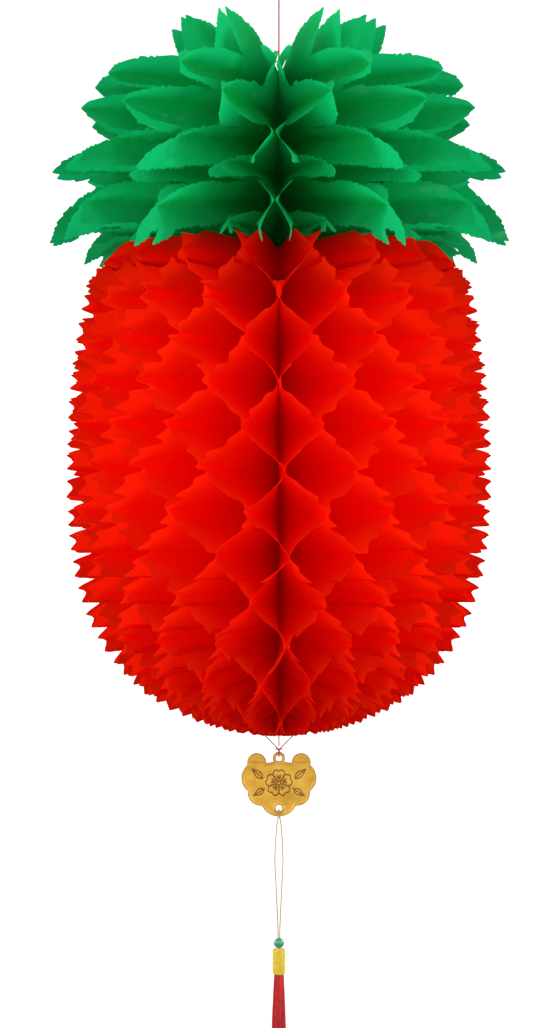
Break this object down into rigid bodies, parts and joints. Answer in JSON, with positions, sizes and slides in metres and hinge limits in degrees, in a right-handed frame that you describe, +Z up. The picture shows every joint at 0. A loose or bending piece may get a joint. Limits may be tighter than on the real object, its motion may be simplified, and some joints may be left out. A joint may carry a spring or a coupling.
{
  "type": "paper pineapple lantern",
  "caption": "Hanging honeycomb paper lantern shaped as a pineapple: red toothed fruit, green leafy crown, hanging thread, and a lock-shaped charm with bead and tassel below.",
  "frame": {"origin": "top of the hanging loop's thread, where the lantern hangs", "axes": "+Z up along the lantern's axis; the front faces -Y and +X is to its right as seen"},
  "size_m": [0.2644, 0.2644, 0.6838],
  "materials": {
    "red_paper": "matte dyed paper",
    "green_paper": "matte dyed paper",
    "red_thread": "cotton thread",
    "gilt_metal": "satin gilt",
    "beige_cord": "satin cord",
    "green_glass": "polished bead",
    "yellow_silk": "wound silk",
    "red_silk": "loose silk threads"
  },
  "bodies": {
    "root": {"fruit_sheet_01": "red_paper", "fruit_sheet_02": "red_paper", "fruit_sheet_03": "red_paper", "fruit_sheet_04": "red_paper", "fruit_sheet_05": "red_paper", "fruit_sheet_06": "red_paper", "fruit_sheet_07": "red_paper", "fruit_sheet_08": "red_paper", "fruit_sheet_09": "red_paper", "fruit_sheet_10": "red_paper", "fruit_sheet_11": "red_paper", "fruit_sheet_12": "red_paper", "fruit_sheet_13": "red_paper", "fruit_sheet_14": "red_paper", "fruit_sheet_15": "red_paper", "fruit_sheet_16": "red_paper", "fruit_sheet_17": "red_paper", "fruit_sheet_18": "red_paper", "fruit_sheet_19": "red_paper", "fruit_sheet_20": "red_paper", "fruit_sheet_21": "red_paper", "fruit_sheet_22": "red_paper", "fruit_sheet_23": "red_paper", "fruit_sheet_24": "red_paper", "fruit_sheet_25": "red_paper", "fruit_sheet_26": "red_paper", "fruit_sheet_27": "red_paper", "fruit_sheet_28": "red_paper", "fruit_sheet_29": "red_paper", "fruit_sheet_30": "red_paper", "fruit_sheet_31": "red_paper", "fruit_sheet_32": "red_paper", "fruit_sheet_33": "red_paper", "fruit_sheet_34": "red_paper", "fruit_sheet_35": "red_paper", "fruit_sheet_36": "red_paper", "crown_leaf_pair_01": "green_paper", "crown_leaf_pair_02": "green_paper", "crown_leaf_pair_03": "green_paper", "crown_leaf_pair_04": "green_paper", "crown_leaf_pair_05": "green_paper", "crown_leaf_pair_06": "green_paper", "crown_leaf_pair_07": "green_paper", "crown_leaf_pair_08": "green_paper", "crown_leaf_pair_09": "green_paper", "crown_leaf_pair_10": "green_paper", "crown_leaf_pair_11": "green_paper", "crown_leaf_pair_12": "green_paper", "crown_spine": "green_paper", "fruit_spine": "red_paper", "hanging_thread": "red_thread", "hanging_knot": "red_thread", "pendant_thread_outer": "red_thread", "pendant_thread_middle": "red_thread", "pendant_knot": "red_thread", "charm": "gilt_metal", "tassel_cord": "beige_cord", "tassel_bead": "green_glass", "tassel_cap": "yellow_silk", "tassel": "red_silk"}
  },
  "joints": []
}
